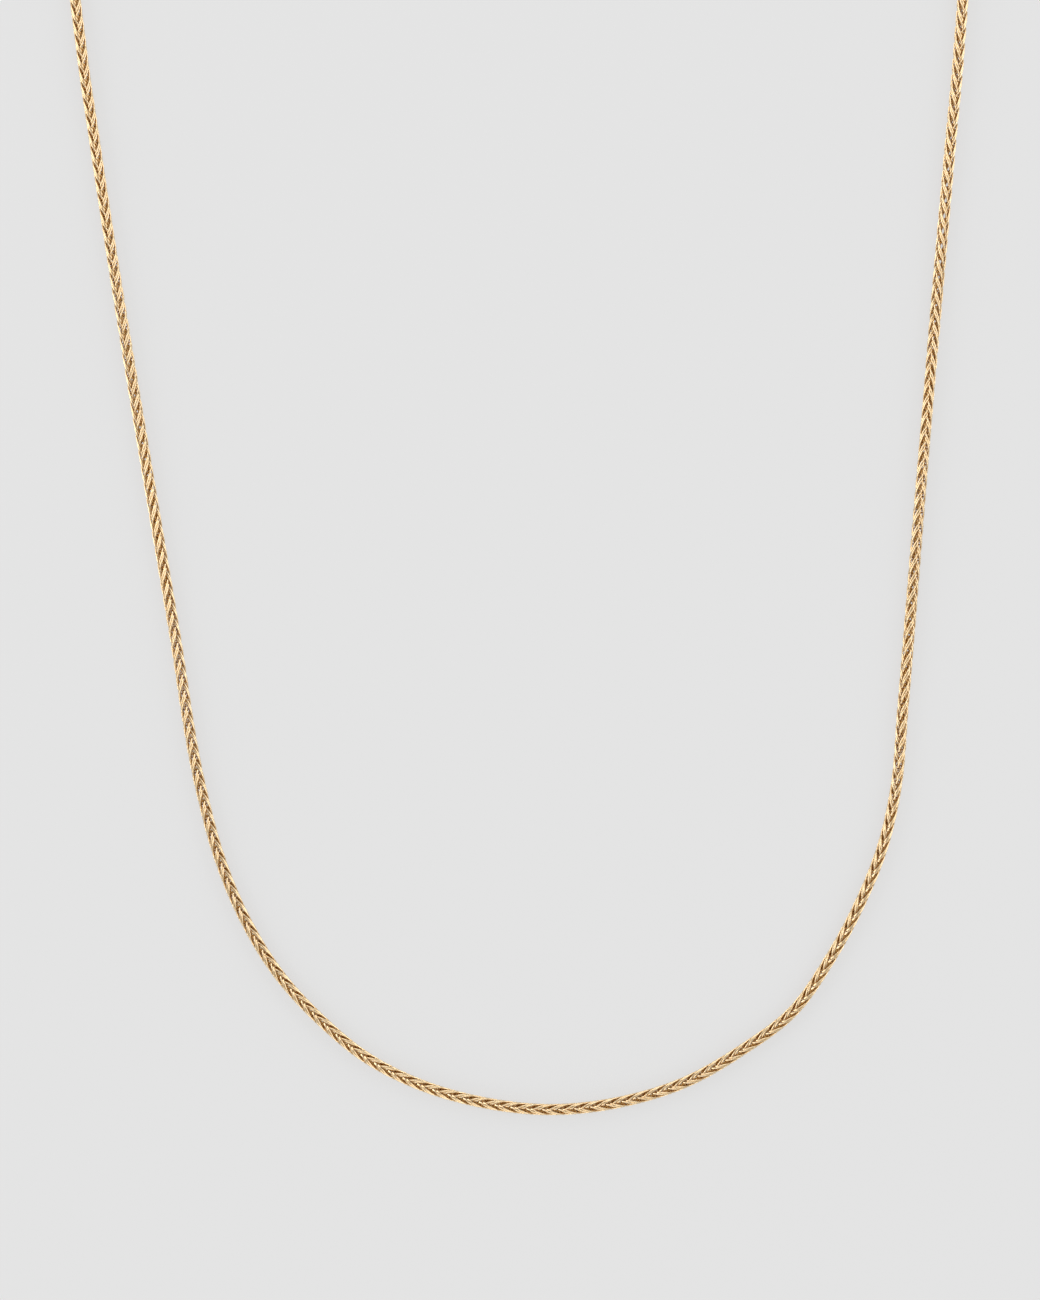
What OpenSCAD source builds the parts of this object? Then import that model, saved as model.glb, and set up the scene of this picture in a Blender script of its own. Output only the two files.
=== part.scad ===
// A fine wheat chain for the neck, laid out flat as one closed loop with its clasp fastened.
// Millimetres. The surface that it lies on is z = 0, +Z is up, and +Y runs from the lowest bend to the clasp.
// The origin is the middle of the outline on that surface.

/* [Chain] */
// Width of the chain over its links
chain_w = 1.5; // [1.2:0.1:2]

/* [End caps] */
// Wall around the chain's end
cap_wall = 0.28; // [0.2:0.02:0.5]
// Length of the straight barrel
cap_len = 2.9; // [2:0.1:4]
// Thickness of the barrel's closed end
cap_floor = 0.3; // [0.2:0.05:0.5]
// Rounding of the barrel's mouth
cap_edge = 0.1; // [0.05:0.01:0.15]
// Clearance between the chain and the barrel, all round and at the closed end
cap_gap = 0.09; // [0.05:0.01:0.15]

/* [Rings] */
// Wire of the rings and of the eyes
ring_wire = 0.5; // [0.4:0.05:0.6]
// Outside diameter of the jump ring
jump_d = 3.1; // [2.8:0.1:3.6]
// Outside diameter of the catch ring
catch_d = 3.7; // [3.5:0.1:4.2]
// Clearance between wires that pass through each other
wire_gap = 0.06; // [0.04:0.01:0.1]
// Clearance between a leaning ring and the surface
rest_gap = 0.02; // [0.01:0.01:0.04]

/* [Clasp] */
// Outside diameter of the clasp's ring
clasp_d = 5.4; // [5:0.1:7]
// Thickness of the clasp's ring
clasp_tube = 1; // [0.8:0.05:1.1]
// Clearance between the clasp's ring and the catch ring's wire inside it
bar_gap = 0.5; // [0.45:0.05:0.6]

/* [Hidden] */
$fn = 64;

GOLD = [0.86, 0.68, 0.38];

// Sides of the chain's tube, and its stations between two points of the route
SIDES = 8;
STEPS = 2;
// How far the chain runs on straight from a cap before it bends
LEAD = 2.5;
// The line that the clasp, the rings and the caps lie on
CLASP_Y = 93.5;

// Where the chain runs, seen from above, from the left cap round the lowest bend to the right cap
PLAN = [
    [-22, 92.5], [-31.5, 89], [-40, 82.5], [-47, 73.5], [-52.5, 62.5], [-55.5, 49.5], [-54.5, 36.5],
    [-53, 26], [-43, -35.5], [-39.5, -56], [-37.5, -63.5], [-34.5, -71], [-30, -78.5], [-24.5, -84.5],
    [-19, -89], [-12, -92.5], [-5, -94.5], [4, -95.5], [13, -94.5], [21, -92], [28, -88], [34, -83.5],
    [39, -76.5], [42.5, -70], [45.5, -62.5], [47, -56], [48, -45], [50, -20.5], [54, 26], [55, 37],
    [55.5, 49.5], [53, 62.5], [47.5, 73.5], [40, 82.5], [31.5, 89], [22, 92.5]
];

// Heights of the chain's middle where it lies, and of the middle of all the fittings: the caps lie on the
// surface, and the catch ring's wire passes under the clasp
chain_r = chain_w / 2 / cos(180 / SIDES);
cap_bore = chain_r + cap_gap;
cap_r = cap_bore + cap_wall;
lie_z = chain_w / 2;
tube_r = clasp_tube / 2;
fit_z = max(cap_r, rest_gap + ring_wire + wire_gap + tube_r);

// A ring leans over until it nearly touches the surface, and an eye is wide enough for a wire that leans so
wire_r = ring_wire / 2;
jump_r = (jump_d - ring_wire) / 2;
catch_r = (catch_d - ring_wire) / 2;
rise = fit_z - wire_r - rest_gap;
eye_r = (ring_wire + wire_gap) * max(jump_r, catch_r) / rise;

// Distances between the middles of the pieces, along the line of the clasp
clasp_r = clasp_d / 2 - tube_r;
bar_to_wire = tube_r + wire_r + bar_gap;
clasp_to_eye = clasp_r + tube_r + eye_r;
eye_to_mouth = eye_r + cap_r + cap_len;
span_left = clasp_to_eye + 2 * jump_r + eye_to_mouth;
span_right = clasp_r - bar_to_wire + 2 * catch_r + eye_to_mouth;

// Places along X, with the two caps' mouths at equal distances from the middle
mouth_x = (span_left + span_right) / 2;
clasp_x = span_left - mouth_x;
end_x = mouth_x - cap_len + cap_floor + cap_gap;
eye_x = mouth_x - eye_to_mouth;

ROUTE = concat(
    [[-end_x, CLASP_Y, fit_z], [-mouth_x - LEAD, CLASP_Y, fit_z]],
    [for (p = PLAN) [p[0], p[1], lie_z]],
    [[mouth_x + LEAD, CLASP_Y, fit_z], [end_x, CLASP_Y, fit_z]]
);
LAST = len(ROUTE) - 1;

function unit(v) = v / norm(v);
function step_from(i) = [ROUTE[i + 1][0] - ROUTE[i][0], ROUTE[i + 1][1] - ROUTE[i][1], 0];

// The chain's level heading at a point of the route: the shorter neighbouring step counts for more
function heading(i) =
    i == 0 ? unit(step_from(0))
    : i == LAST ? unit(step_from(LAST - 1))
    : unit(unit(step_from(i - 1)) * norm(step_from(i)) + unit(step_from(i)) * norm(step_from(i - 1)));

// A point between two points of the route, on a cubic whose handles are a third of the way
function along(i, t) =
    let (
        a = ROUTE[i],
        d = ROUTE[i + 1],
        reach = norm(d - a) / 3,
        b = a + heading(i) * reach,
        c = d - heading(i + 1) * reach
    )
    pow(1 - t, 3) * a + 3 * pow(1 - t, 2) * t * b + 3 * (1 - t) * pow(t, 2) * c + pow(t, 3) * d;

PATH = concat([for (i = [0 : LAST - 1]) for (k = [0 : STEPS - 1]) along(i, k / STEPS)], [ROUTE[LAST]]);
RINGS = len(PATH);

function direction(j) = unit(PATH[min(j + 1, RINGS - 1)] - PATH[max(j - 1, 0)]);

// One station of the tube, with a flat underneath
function station(j) =
    let (
        ahead = direction(j),
        side = unit(cross([0, 0, 1], ahead)),
        up = cross(ahead, side)
    )
    [for (k = [0 : SIDES - 1])
        let (turn = 360 / SIDES * (k + 0.5))
        PATH[j] + chain_r * (cos(turn) * side + sin(turn) * up)];

module chain() {
    corners = [for (j = [0 : RINGS - 1]) each station(j)];
    walls = [for (j = [0 : RINGS - 2]) for (k = [0 : SIDES - 1])
        let (next = (k + 1) % SIDES)
        [j * SIDES + k, (j + 1) * SIDES + k, (j + 1) * SIDES + next, j * SIDES + next]];
    first_end = [for (k = [0 : SIDES - 1]) k];
    last_end = [for (k = [SIDES - 1 : -1 : 0]) (RINGS - 1) * SIDES + k];
    color(GOLD) polyhedron(corners, concat([first_end, last_end], walls), convexity = 10);
}

// A ring of round wire in the XY plane
module wire_ring(radius, wire_radius) {
    rotate_extrude() translate([radius, 0]) circle(wire_radius);
}

// A barrel with a domed end and an eye, its mouth towards +X
module end_cap() {
    translate([mouth_x, CLASP_Y, fit_z]) rotate([0, -90, 0]) difference() {
        union() {
            translate([0, 0, cap_edge]) cylinder(r = cap_r, h = cap_len - cap_edge);
            cylinder(r = cap_r - cap_edge, h = cap_len);
            translate([0, 0, cap_edge]) wire_ring(cap_r - cap_edge, cap_edge);
            translate([0, 0, cap_len]) intersection() {
                sphere(cap_r);
                cylinder(r = 2 * cap_r, h = 2 * cap_r);
            }
        }
        translate([0, 0, -1]) cylinder(r = cap_bore, h = cap_len - cap_floor + 1);
    }
    translate([eye_x, CLASP_Y, fit_z]) wire_ring(eye_r, wire_r);
}

module end_cap_left() {
    color(GOLD) mirror([1, 0, 0]) end_cap();
}

module end_cap_right() {
    color(GOLD) end_cap();
}

// A ring that starts at x and reaches towards +X, leaning over about that line
module leaning_ring(x, radius) {
    lean = asin(rise / radius);
    translate([x + radius, CLASP_Y, fit_z]) rotate([lean, 0, 0]) wire_ring(radius, wire_r);
}

module jump_ring() {
    color(GOLD) leaning_ring(-eye_x, jump_r);
}

module catch_ring() {
    color(GOLD) leaning_ring(eye_x - 2 * catch_r, catch_r);
}

module clasp() {
    color(GOLD) translate([clasp_x, CLASP_Y, fit_z]) {
        wire_ring(clasp_r, tube_r);
        translate([-clasp_to_eye, 0, 0]) wire_ring(eye_r, wire_r);
    }
}

chain();
end_cap_left();
end_cap_right();
jump_ring();
catch_ring();
clasp();
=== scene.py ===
# %% [markdown]
# # A fine gold wheat chain, lying flat
# The chain is a neck chain about half a metre round. It lies on a pale table, seen from straight above,
# and its clasp is fastened at the far side, outside the picture.
# The CAD model gives the frame: the run of the chain as a plain tube, and the end caps, rings and clasp.
# This lesson bends one small wire loop, repeats it along the tube's route, and gives the metal its polish.

import math

import bmesh
import bpy
import numpy as np
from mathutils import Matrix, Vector


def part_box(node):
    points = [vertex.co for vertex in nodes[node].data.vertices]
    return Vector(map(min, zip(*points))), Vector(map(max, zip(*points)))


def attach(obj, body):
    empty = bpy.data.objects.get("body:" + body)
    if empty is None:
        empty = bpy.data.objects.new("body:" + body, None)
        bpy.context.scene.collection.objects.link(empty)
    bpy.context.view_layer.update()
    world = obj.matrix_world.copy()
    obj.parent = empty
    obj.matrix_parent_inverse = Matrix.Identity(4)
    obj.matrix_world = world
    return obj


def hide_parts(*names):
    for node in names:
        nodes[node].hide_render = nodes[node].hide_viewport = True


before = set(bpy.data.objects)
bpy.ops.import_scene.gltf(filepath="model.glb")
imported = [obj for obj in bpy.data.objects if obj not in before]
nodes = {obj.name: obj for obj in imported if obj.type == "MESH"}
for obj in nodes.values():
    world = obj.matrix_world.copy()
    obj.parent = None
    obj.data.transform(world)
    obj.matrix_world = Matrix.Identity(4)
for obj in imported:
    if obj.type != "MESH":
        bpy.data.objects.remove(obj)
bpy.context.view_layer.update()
print("CAD pieces:", sorted(nodes))

# %% [markdown]
# ## Length units
# Blender counts in metres and a jeweller in millimetres. The chain's sizes below are in millimetres, and MM
# turns them into metres. The table, the lamps and the lens's clipping are in metres as they stand.

# %% Millimetres
MM = 0.001

# %% [markdown]
# ## The run of the chain
# On the table the chain makes one big egg-shaped loop: two long sides, a wide bend at the bottom and a
# round back to the clasp. The route could be drawn by hand in the editor, but the links have to follow the
# CAD tube exactly, so it goes through the tube's own points with the same rule for its bends.
# At each point the curve heads along the mean of the two steps beside it, the shorter step counting more.

# %% The route's points
CHAIN_WIDTH = 1.5
LIE_Z = CHAIN_WIDTH / 2
CLASP_Y = 93.5
LEAD = 2.5
PLAN = [
    (-22, 92.5), (-31.5, 89), (-40, 82.5), (-47, 73.5), (-52.5, 62.5), (-55.5, 49.5), (-54.5, 36.5),
    (-53, 26), (-43, -35.5), (-39.5, -56), (-37.5, -63.5), (-34.5, -71), (-30, -78.5), (-24.5, -84.5),
    (-19, -89), (-12, -92.5), (-5, -94.5), (4, -95.5), (13, -94.5), (21, -92), (28, -88), (34, -83.5),
    (39, -76.5), (42.5, -70), (45.5, -62.5), (47, -56), (48, -45), (50, -20.5), (54, 26), (55, 37),
    (55.5, 49.5), (53, 62.5), (47.5, 73.5), (40, 82.5), (31.5, 89), (22, 92.5),
]
cap_low, cap_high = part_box("end_cap_left")
mouth_x = -cap_low.x / MM
fit_z = (cap_low.z + cap_high.z) / 2 / MM
tube = nodes["chain"]
corners = [tube.matrix_world @ v.co / MM for v in tube.data.vertices]
# The chain's ends are the tube's corners nearest to the middle, on the clasp's line
end_x = min(abs(c.x) for c in corners if abs(c.y - CLASP_Y) < CHAIN_WIDTH)
print(f"chain ends at x = -+{end_x:.2f} mm, in caps with mouths at -+{mouth_x:.2f} mm, {fit_z:.2f} mm up")

# %% [markdown]
# ## The route as a curve
# A Bezier curve is the natural tool: each point has two handles, here level ones a third of a step long.
# The curve is only a guide for the links, so it is removed once they lie along it.

# %% The route as a curve
def run_of_chain():
    points = [Vector((x, y, LIE_Z)) for x, y in PLAN]
    first = [Vector((-end_x, CLASP_Y, fit_z)), Vector((-mouth_x - LEAD, CLASP_Y, fit_z))]
    last = [Vector((mouth_x + LEAD, CLASP_Y, fit_z)), Vector((end_x, CLASP_Y, fit_z))]
    points = [p * MM for p in first + points + last]
    steps = [b - a for a, b in zip(points, points[1:])]
    level = [Vector((s.x, s.y, 0)) for s in steps]
    headings = [level[0].normalized()]
    for a, b in zip(level, level[1:]):
        headings.append((a.normalized() * b.length + b.normalized() * a.length).normalized())
    headings.append(level[-1].normalized())
    curve = bpy.data.curves.new("chain_run", "CURVE")
    curve.dimensions = "3D"
    curve.twist_mode = "Z_UP"
    curve.resolution_u = 32
    line = curve.splines.new("BEZIER")
    line.bezier_points.add(len(points) - 1)
    for i, p in enumerate(line.bezier_points):
        back = steps[max(i - 1, 0)].length / 3
        ahead = steps[min(i, len(steps) - 1)].length / 3
        p.co = points[i]
        p.handle_left_type = p.handle_right_type = "FREE"
        p.handle_left = points[i] - headings[i] * back
        p.handle_right = points[i] + headings[i] * ahead
    return curve

run = bpy.data.objects.new("chain_run", run_of_chain())
bpy.context.collection.objects.link(run)
run_length = run.data.splines[0].calc_length() / MM
print(f"the chain runs {run_length:.1f} mm")

# %% [markdown]
# ## One loop of wire
# A wheat chain is made of long loops of wire. The middle of a loop crosses the inside of the chain, and its
# two like halves come up on opposite sides. In each half the wire parts into two arms. One slants over the
# outside a quarter of the way round to the left. The other comes up half a link later, from under the next
# loop's left arm, and slants as far to the right. Both dive in again and close in a narrow ear in the
# chain's middle, and the next loops are threaded through it.
# From outside only the arms show: four rows of slanting wires that overlap in V's, like the grains on an
# ear of wheat. The half link between the two arms is what lets each one slip under a neighbour's.
# A wire like this could be swept along a spline with handles, but a link that is repeated hundreds of
# times has to stay light, so it is a straight-sided line through a few stations.

# %% The stations of the wire
WIRE = 0.22
# Distance from the chain's middle, angle about it, and place along the chain
LEFT_ARM = [
    (0.40, -4, -0.10), (0.60, 4, 0.00), (0.63, 28, 0.66), (0.63, 57, 1.38), (0.62, 85, 2.06),
    (0.43, 95, 2.34), (0.42, 56, 3.00),
]
RIGHT_ARM = [
    (0.36, 38, 0.42), (0.37, 14, 0.66), (0.57, -6, 0.98), (0.63, -31, 1.66), (0.63, -58, 2.42),
    (0.61, -84, 3.12), (0.41, -93, 3.40), (0.34, -46, 3.70),
]
EAR = (0.24, 6, 3.90)

def station(radius, angle, along):
    turn = math.radians(angle)
    return (along, radius * math.cos(turn), radius * math.sin(turn))

def half_loop(middle):
    return [station(r, middle + a, x) for r, a, x in LEFT_ARM + [EAR] + RIGHT_ARM[::-1]]

loop_points = half_loop(0) + half_loop(180)
print("stations in a loop:", len(loop_points))

# %% [markdown]
# ## The wire's thickness
# A curve's bevel turns the line into a wire. Six sides with smooth shading look round at this size. Each
# point of a curve has its own radius, and the stations deep inside the chain have a smaller one: so many
# wires pass there that full ones would run into each other, and hardly anything of them shows.
# The curve is only a step, so it becomes a mesh and is removed.

# %% Bend the wire
INSIDE = 0.47
THIN = 0.75

def bent_wire(name, points):
    curve = bpy.data.curves.new(name, "CURVE")
    curve.dimensions = "3D"
    curve.bevel_depth = WIRE / 2 * MM
    curve.bevel_resolution = 1
    line = curve.splines.new("POLY")
    line.points.add(len(points) - 1)
    for p, (x, y, z) in zip(line.points, points):
        p.co = (x * MM, y * MM, z * MM, 1)
        p.radius = THIN if math.hypot(y, z) < INSIDE else 1
    line.use_cyclic_u = True
    wire = bpy.data.objects.new(name, curve)
    bpy.context.collection.objects.link(wire)
    mesh = bpy.data.meshes.new_from_object(wire.evaluated_get(bpy.context.evaluated_depsgraph_get()))
    bpy.data.objects.remove(wire)
    return mesh

pair = bent_wire("wheat_links", loop_points)

# %% [markdown]
# ## A pair of loops
# The loops go in twos: a second one sits close behind the first, so each arm of a V is a double wire.
# Two curves would do, but one mesh copied and moved with bmesh keeps both loops exactly alike.

# %% A pair of loops
PAIR_STEP = 0.54

bm = bmesh.new()
bm.from_mesh(pair)
bmesh.ops.remove_doubles(bm, verts=bm.verts, dist=0.001 * MM)
bmesh.ops.recalc_face_normals(bm, faces=bm.faces)
loop_faces = len(bm.faces)
copy = bmesh.ops.duplicate(bm, geom=bm.verts[:] + bm.edges[:] + bm.faces[:])
copied = [v for v in copy["geom"] if isinstance(v, bmesh.types.BMVert)]
bmesh.ops.translate(bm, vec=(PAIR_STEP * MM, 0, 0), verts=copied)
for face in bm.faces:
    face.smooth = True
bm.to_mesh(pair)
bm.free()
print("faces in a loop:", loop_faces)

# %% [markdown]
# ## The chain of loops
# An Array modifier repeats the pair in a straight line, one pair for each V of the pattern. Setting each
# pair by hand on the route would give the same links, but the array keeps their distance in one number.
# A loop is twice as long as the distance between pairs, so the row starts nearly a loop before the chain's
# end: the chain then has its full number of wires from end to end.

# %% A straight chain
PITCH = 2.0
START = -3.75

links = bpy.data.objects.new("wheat_links", pair)
bpy.context.collection.objects.link(links)
count = int((run_length - START) / PITCH) + 1
array = links.modifiers.new("repeat", "ARRAY")
array.use_relative_offset = False
array.use_constant_offset = True
array.constant_offset_displace = (PITCH * MM, 0, 0)
array.count = count
print("pairs of loops:", count)

# %% Apply the modifier
def apply_modifiers(obj):
    mesh = bpy.data.meshes.new_from_object(obj.evaluated_get(bpy.context.evaluated_depsgraph_get()))
    obj.modifiers.clear()
    old = obj.data
    obj.data = mesh
    mesh.name = obj.name
    if old.users == 0:
        bpy.data.meshes.remove(old)

apply_modifiers(links)

# %% [markdown]
# ## Cut the ends
# A real chain is cut to length and its ends are glued or soldered into the caps. Here a plane cuts the
# straight mesh at each end, and each cut wire gets a flat end. A Boolean would do it too, but bisecting is
# quicker and leaves every other face alone.

# %% Cut the ends
CUT = 0.1
bm = bmesh.new()
bm.from_mesh(links.data)
bmesh.ops.translate(bm, vec=(START * MM, 0, 0), verts=bm.verts)
for place, facing in ((CUT, -1), (run_length - CUT, 1)):
    everything = bm.verts[:] + bm.edges[:] + bm.faces[:]
    cut = bmesh.ops.bisect_plane(
        bm, geom=everything, plane_co=(place * MM, 0, 0), plane_no=(facing, 0, 0), clear_outer=True
    )
    rims = [part for part in cut["geom_cut"] if isinstance(part, bmesh.types.BMEdge)]
    filled = bmesh.ops.holes_fill(bm, edges=rims, sides=0)
    print(f"wires cut at {place:.1f} mm:", len(filled["faces"]))
bm.to_mesh(links.data)
bm.free()
points = np.zeros(len(links.data.vertices) * 3)
links.data.vertices.foreach_get("co", points)
points = points.reshape(-1, 3)
print("vertices in the chain:", len(points))

# %% [markdown]
# ## Painted shade between the wires
# Down between the wires the gold lies in shade, and that shade is painted into its colour: the deeper a
# wire lies, the darker its gold. Each vertex gets a number for this, from how far out it is, while the
# chain is still straight and its middle is easy to measure from. The material reads the number further on.

# %% Painted shade
# Painted shade is full at the first distance from the chain's middle and gone at the second, in mm
PAINTED_SHADE_FULL_AT = 0.42
PAINTED_SHADE_ENDS_AT = 0.68
out = np.hypot(points[:, 1], points[:, 2]) / MM
painted_lightness = links.data.attributes.new("painted_lightness", "FLOAT", "POINT")
painted_lightness.data.foreach_set("value", np.clip((out - PAINTED_SHADE_FULL_AT) / (PAINTED_SHADE_ENDS_AT - PAINTED_SHADE_FULL_AT), 0, 1))
print(f"outermost wire: {out.max():.3f} mm from the chain's middle")

# %% [markdown]
# ## The chain's slow roll
# Laid on a table, a chain like this rolls slowly as it goes round, so the V's show full face in one place
# and from the side in another. A Simple Deform twist turns evenly from end to end, and the real roll
# doesn't, so a short table of places and angles sets it, and each vertex turns about the chain's middle.

# %% Roll
FIRST_SEEN = 78.7
ROLL = [
    (0, 0), (28, 0), (42, -13), (50, -25), (62, -40), (70, -50), (78, -62), (98, -74),
    (125, -81), (147, -83), (165, -81), (182, -78), (205, -86), (225, -84), (232, -68), (240, -48),
    (250, -32), (259, -15), (269, -5), (280, 10), (288, 30), (300, 60), (313, 80),
]
places, angles = np.array(ROLL, float).T
roll = np.radians(np.interp(points[:, 0] / MM, places + FIRST_SEEN, angles))
side, up = points[:, 1].copy(), points[:, 2].copy()
points[:, 1] = side * np.cos(roll) + up * np.sin(roll)
points[:, 2] = up * np.cos(roll) - side * np.sin(roll)
links.data.vertices.foreach_set("co", points.ravel())
links.data.update()
print(f"roll from {angles.min():.0f} to {angles.max():.0f} degrees")

# %% [markdown]
# ## Lay the chain along its run
# A Curve modifier bends the straight chain along the route. It measures along its X axis from the route's
# first point, which is why the chain was made along X, and no link stretches where the route is straight.

# %% Lay the chain along its run
bend = links.modifiers.new("along", "CURVE")
bend.object = run
bend.deform_axis = "POS_X"
apply_modifiers(links)
bpy.data.objects.remove(run)
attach(links, "root")
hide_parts("chain")
print("triangles in the chain:", sum(len(p.vertices) - 2 for p in links.data.polygons))

# %% [markdown]
# ## Gold
# The chain is yellow gold. A metal takes its whole look from its colour, its roughness and what it
# reflects, so the shader is fully metallic, with a pale warm colour. A single colour would look like
# plastic: real wire is a little uneven all over, which noise in colour and roughness gives.
# Between the chain's wires, where they shade each other, the number on each vertex mixes in a darker,
# deeper gold as painted shade.

# %% Gold
GOLD = (1.0, 0.82, 0.55)
DEEP_GOLD = (0.95, 0.68, 0.37)
# The last colour is painted shade: the darker, deeper gold down between the wires
PAINTED_SHADE_GOLD = (0.63, 0.36, 0.10)
CLOUD_SCALE = 900
UNEVEN = 0.3

def gold(name, rough):
    mat = bpy.data.materials.new(name)
    mat.use_nodes = True
    tree = mat.node_tree
    shader = next(n for n in tree.nodes if n.type == "BSDF_PRINCIPLED")
    shader.inputs["Metallic"].default_value = 1
    place = tree.nodes.new("ShaderNodeTexCoord")
    cloudy = tree.nodes.new("ShaderNodeTexNoise")
    cloudy.inputs["Scale"].default_value = CLOUD_SCALE
    cloudy.inputs["Detail"].default_value = 3
    tree.links.new(place.outputs["Object"], cloudy.inputs["Vector"])
    tint = tree.nodes.new("ShaderNodeMix")
    tint.name = "tint"
    tint.data_type = "RGBA"
    tint.inputs["A"].default_value = (*GOLD, 1)
    tint.inputs["B"].default_value = (*DEEP_GOLD, 1)
    tree.links.new(cloudy.outputs["Fac"], tint.inputs["Factor"])
    tree.links.new(tint.outputs["Result"], shader.inputs["Base Color"])
    sheen = tree.nodes.new("ShaderNodeMapRange")
    sheen.inputs["To Min"].default_value = rough * (1 - UNEVEN)
    sheen.inputs["To Max"].default_value = rough * (1 + UNEVEN)
    tree.links.new(cloudy.outputs["Fac"], sheen.inputs["Value"])
    tree.links.new(sheen.outputs["Result"], shader.inputs["Roughness"])
    return mat

# %% Gold with painted shade between the wires
# Painted shade: mixes the darker gold in where a vertex's number is low, deep between the wires
def paint_shade_between_wires(mat):
    tree = mat.node_tree
    shader = next(n for n in tree.nodes if n.type == "BSDF_PRINCIPLED")
    painted_lightness_node = tree.nodes.new("ShaderNodeAttribute")
    painted_lightness_node.attribute_name = "painted_lightness"
    depth = tree.nodes.new("ShaderNodeMix")
    depth.data_type = "RGBA"
    depth.inputs["A"].default_value = (*PAINTED_SHADE_GOLD, 1)
    tree.links.new(painted_lightness_node.outputs["Fac"], depth.inputs["Factor"])
    tree.links.new(tree.nodes["tint"].outputs["Result"], depth.inputs["B"])
    tree.links.new(depth.outputs["Result"], shader.inputs["Base Color"])

chain_gold = gold("chain_gold", 0.22)
paint_shade_between_wires(chain_gold)
fitting_gold = gold("fitting_gold", 0.18)
links.data.materials.clear()
links.data.materials.append(chain_gold)
for name, node in nodes.items():
    if name != "chain":
        node.data.materials.clear()
        node.data.materials.append(fitting_gold)
print("materials:", chain_gold.name, fitting_gold.name)

# %% [markdown]
# ## Table, light and camera
# The chain was photographed on a pale, even ground with almost no shadow, as on a light table: a sheet that
# glows faintly from below. A plain sheet under the same lamps would show a dark edge along the chain, so
# the sheet here is grey paper with some light of its own. Large soft lamps put long highlights on the wire.
# The camera looks straight down through a long lens, so the two legs of the chain keep their true lean.

# %% The table
PAPER_GREY = 0.18
GLOW = 0.6
TABLE_REACH = 2
bm = bmesh.new()
bmesh.ops.create_grid(bm, x_segments=1, y_segments=1, size=TABLE_REACH)
floor_mesh = bpy.data.meshes.new("table")
bm.to_mesh(floor_mesh)
bm.free()
table = bpy.data.objects.new("table", floor_mesh)
bpy.context.collection.objects.link(table)
paper = bpy.data.materials.new("paper")
paper.use_nodes = True
paper_shader = next(n for n in paper.node_tree.nodes if n.type == "BSDF_PRINCIPLED")
paper_shader.inputs["Base Color"].default_value = (PAPER_GREY, PAPER_GREY, PAPER_GREY, 1)
paper_shader.inputs["Roughness"].default_value = 0.9
paper_shader.inputs["Specular IOR Level"].default_value = 0.1
paper_shader.inputs["Emission Color"].default_value = (1, 1, 1, 1)
paper_shader.inputs["Emission Strength"].default_value = GLOW
floor_mesh.materials.append(paper)
print("the table reaches", TABLE_REACH, "m each way")

# %% The lights
LAMP_SIZE = 1.0
world = bpy.data.worlds.new("studio")
bpy.context.scene.world = world
world.use_nodes = True
sky = next(n for n in world.node_tree.nodes if n.type == "BACKGROUND")
sky.inputs["Color"].default_value = (1, 1, 1, 1)
sky.inputs["Strength"].default_value = 0.5

def soft_light(name, place, power):
    light = bpy.data.lights.new(name, "AREA")
    light.size = LAMP_SIZE
    light.energy = power
    lamp = bpy.data.objects.new(name, light)
    lamp.location = place
    lamp.rotation_euler = (-Vector(place)).to_track_quat("-Z", "Y").to_euler()
    lamp.visible_camera = False
    bpy.context.collection.objects.link(lamp)

soft_light("left_window", (-1.1, 0.15, 0.42), 7.2)
soft_light("right_window", (1.1, 0.15, 0.42), 5.9)
soft_light("far_window", (0.0, 1.2, 0.45), 5.9)
soft_light("near_window", (0.0, -1.2, 0.45), 4.8)
print("lamps:", len(bpy.data.lights))

# %% The camera
VIEW_MIDDLE = (0.19, -38.15)
HEIGHT = 451.4
lens = bpy.data.cameras.new("camera")
lens.lens = 100
lens.sensor_width = 36
lens.clip_start, lens.clip_end = 0.01, 10
camera = bpy.data.objects.new("camera", lens)
camera.location = (VIEW_MIDDLE[0] * MM, VIEW_MIDDLE[1] * MM, HEIGHT * MM)
bpy.context.collection.objects.link(camera)
bpy.context.scene.camera = camera
bpy.context.scene.view_settings.view_transform = "Standard"
print(f"the picture is {HEIGHT * lens.sensor_width / lens.lens:.1f} mm high")
